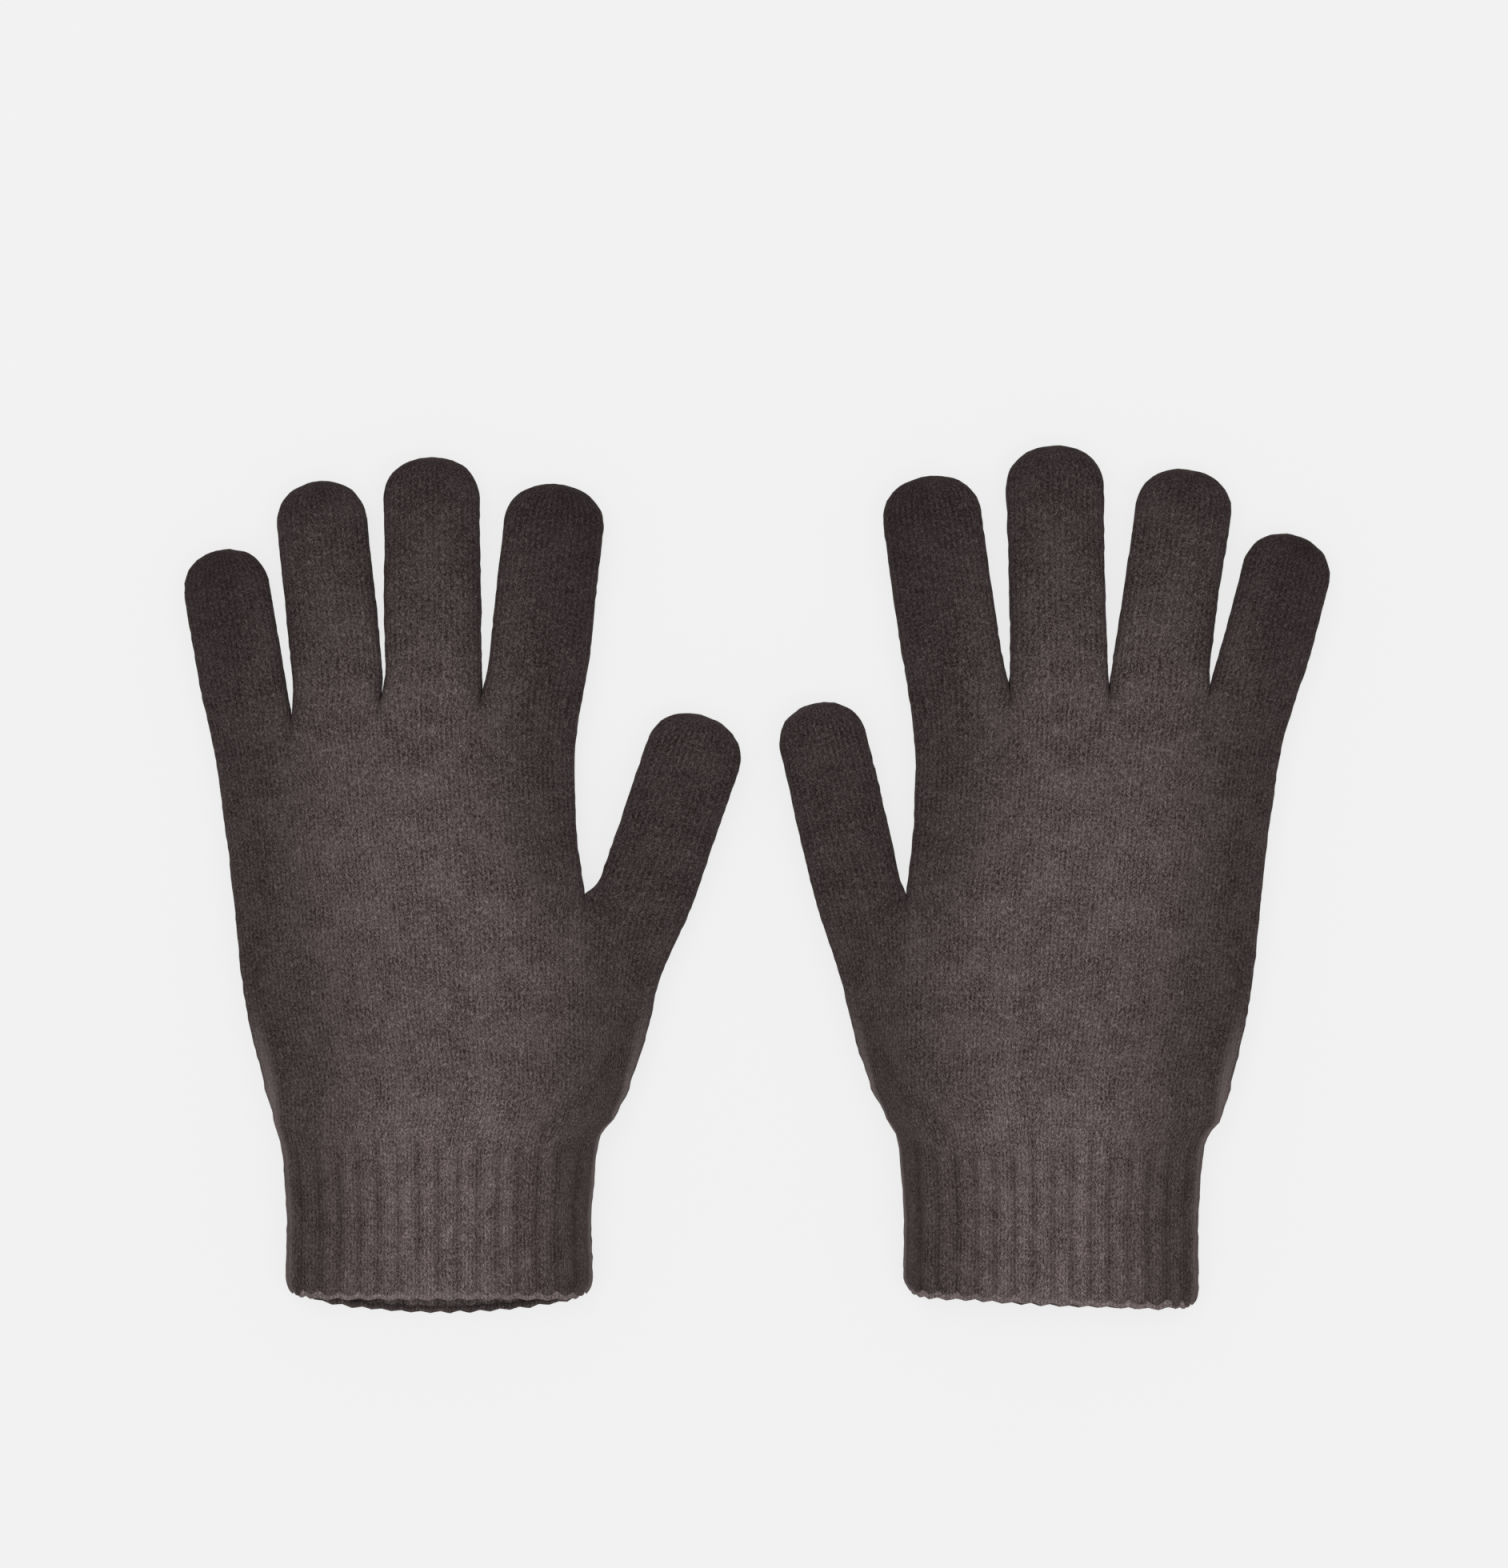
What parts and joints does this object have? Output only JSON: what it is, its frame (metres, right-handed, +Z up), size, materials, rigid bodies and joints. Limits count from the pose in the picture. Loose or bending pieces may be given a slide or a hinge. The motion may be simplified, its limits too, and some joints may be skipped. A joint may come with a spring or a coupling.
{
  "type": "knitted gloves",
  "caption": "Pair of knitted wool gloves lying flat, with hollow fingers and thumbs that fold at the knuckles and long ribbed cuffs with a rolled edge.",
  "frame": {"origin": "on the table, under the middle of the pair", "axes": "+Y towards the fingertips, +X from the left-hand glove of the pair to the right-hand one as seen from above, +Z up from the table"},
  "size_m": [0.334, 0.2535, 0.015],
  "materials": {
    "plain_knit": "heathered brown-charcoal wool knit, matt and slightly felted",
    "rib_knit": "ribbed wool knit, matt",
    "cuff_edge": "rolled knitted edge, a little lighter",
    "elastic": "covered elastic thread, dark"
  },
  "bodies": {
    "left_hand": {"left_palm": "plain_knit"},
    "left_cuff": {"left_cuff": "rib_knit", "left_cuff_edge": "cuff_edge", "left_cuff_elastic": "elastic"},
    "left_little_base": {"left_little_base": "plain_knit"},
    "left_little_tip": {"left_little_tip": "plain_knit"},
    "left_ring_base": {"left_ring_base": "plain_knit"},
    "left_ring_tip": {"left_ring_tip": "plain_knit"},
    "left_middle_base": {"left_middle_base": "plain_knit"},
    "left_middle_tip": {"left_middle_tip": "plain_knit"},
    "left_index_base": {"left_index_base": "plain_knit"},
    "left_index_tip": {"left_index_tip": "plain_knit"},
    "left_thumb_base": {"left_thumb_base": "plain_knit"},
    "left_thumb_tip": {"left_thumb_tip": "plain_knit"},
    "right_hand": {"right_palm": "plain_knit"},
    "right_cuff": {"right_cuff": "rib_knit", "right_cuff_edge": "cuff_edge", "right_cuff_elastic": "elastic"},
    "right_little_base": {"right_little_base": "plain_knit"},
    "right_little_tip": {"right_little_tip": "plain_knit"},
    "right_ring_base": {"right_ring_base": "plain_knit"},
    "right_ring_tip": {"right_ring_tip": "plain_knit"},
    "right_middle_base": {"right_middle_base": "plain_knit"},
    "right_middle_tip": {"right_middle_tip": "plain_knit"},
    "right_index_base": {"right_index_base": "plain_knit"},
    "right_index_tip": {"right_index_tip": "plain_knit"},
    "right_thumb_base": {"right_thumb_base": "plain_knit"},
    "right_thumb_tip": {"right_thumb_tip": "plain_knit"}
  },
  "joints": [
    {"name": "left_wrist_fold", "type": "hinge", "parent": "left_hand", "child": "left_cuff", "pos_m": [-0.0925, -0.069, 0.007], "axis": [-1, 0, 0], "range_deg": [0, 80]},
    {"name": "left_little_root_fold", "type": "hinge", "parent": "left_hand", "child": "left_little_base", "pos_m": [-0.14975, 0.0555, 0.006], "axis": [1, 0, 0], "range_deg": [0, 90]},
    {"name": "left_little_middle_fold", "type": "hinge", "parent": "left_little_base", "child": "left_little_tip", "pos_m": [-0.15276, 0.0735, 0.006], "axis": [1, 0, 0], "range_deg": [0, 95]},
    {"name": "left_ring_root_fold", "type": "hinge", "parent": "left_hand", "child": "left_ring_base", "pos_m": [-0.12255, 0.0633, 0.006], "axis": [1, 0, 0], "range_deg": [0, 90]},
    {"name": "left_ring_middle_fold", "type": "hinge", "parent": "left_ring_base", "child": "left_ring_tip", "pos_m": [-0.12491, 0.08662, 0.006], "axis": [1, 0, 0], "range_deg": [0, 95]},
    {"name": "left_middle_root_fold", "type": "hinge", "parent": "left_hand", "child": "left_middle_base", "pos_m": [-0.09432, 0.0637, 0.006], "axis": [1, 0, 0], "range_deg": [0, 90]},
    {"name": "left_middle_middle_fold", "type": "hinge", "parent": "left_middle_base", "child": "left_middle_tip", "pos_m": [-0.09464, 0.09001, 0.006], "axis": [1, 0, 0], "range_deg": [0, 95]},
    {"name": "left_index_root_fold", "type": "hinge", "parent": "left_hand", "child": "left_index_base", "pos_m": [-0.06348, 0.0637, 0.006], "axis": [1, 0, 0], "range_deg": [0, 90]},
    {"name": "left_index_middle_fold", "type": "hinge", "parent": "left_index_base", "child": "left_index_tip", "pos_m": [-0.06108, 0.08654, 0.006], "axis": [1, 0, 0], "range_deg": [0, 95]},
    {"name": "left_thumb_root_fold", "type": "hinge", "parent": "left_hand", "child": "left_thumb_base", "pos_m": [-0.03114, -0.00049, 0.006], "axis": [0.9466, -0.3223, 0], "range_deg": [0, 60]},
    {"name": "left_thumb_middle_fold", "type": "hinge", "parent": "left_thumb_base", "child": "left_thumb_tip", "pos_m": [-0.0239, 0.0208, 0.006], "axis": [0.9466, -0.3223, 0], "range_deg": [0, 80]},
    {"name": "right_glove_lift", "type": "slide", "parent": "left_hand", "child": "right_hand", "axis": [0, 0, 1], "range_m": [0, 0.08]},
    {"name": "right_wrist_fold", "type": "hinge", "parent": "right_hand", "child": "right_cuff", "pos_m": [0.0858, -0.069, 0.007], "axis": [-1, 0, 0], "range_deg": [0, 80]},
    {"name": "right_little_root_fold", "type": "hinge", "parent": "right_hand", "child": "right_little_base", "pos_m": [0.14749, 0.0628, 0.006], "axis": [1, 0, 0], "range_deg": [0, 90]},
    {"name": "right_little_middle_fold", "type": "hinge", "parent": "right_little_base", "child": "right_little_tip", "pos_m": [0.15182, 0.07943, 0.006], "axis": [1, 0, 0], "range_deg": [0, 95]},
    {"name": "right_ring_root_fold", "type": "hinge", "parent": "right_hand", "child": "right_ring_base", "pos_m": [0.1182, 0.0651, 0.006], "axis": [1, 0, 0], "range_deg": [0, 90]},
    {"name": "right_ring_middle_fold", "type": "hinge", "parent": "right_ring_base", "child": "right_ring_tip", "pos_m": [0.12168, 0.08926, 0.006], "axis": [1, 0, 0], "range_deg": [0, 95]},
    {"name": "right_middle_root_fold", "type": "hinge", "parent": "right_hand", "child": "right_middle_base", "pos_m": [0.08806, 0.0656, 0.006], "axis": [1, 0, 0], "range_deg": [0, 90]},
    {"name": "right_middle_middle_fold", "type": "hinge", "parent": "right_middle_base", "child": "right_middle_tip", "pos_m": [0.08749, 0.09248, 0.006], "axis": [1, 0, 0], "range_deg": [0, 95]},
    {"name": "right_index_root_fold", "type": "hinge", "parent": "right_hand", "child": "right_index_base", "pos_m": [0.05693, 0.0656, 0.006], "axis": [1, 0, 0], "range_deg": [0, 90]},
    {"name": "right_index_middle_fold", "type": "hinge", "parent": "right_index_base", "child": "right_index_tip", "pos_m": [0.05361, 0.08866, 0.006], "axis": [1, 0, 0], "range_deg": [0, 95]},
    {"name": "right_thumb_root_fold", "type": "hinge", "parent": "right_hand", "child": "right_thumb_base", "pos_m": [0.02821, 0.0022, 0.006], "axis": [0.9744, 0.225, 0], "range_deg": [0, 60]},
    {"name": "right_thumb_middle_fold", "type": "hinge", "parent": "right_thumb_base", "child": "right_thumb_tip", "pos_m": [0.02317, 0.02402, 0.006], "axis": [0.9744, 0.225, 0], "range_deg": [0, 80]}
  ]
}
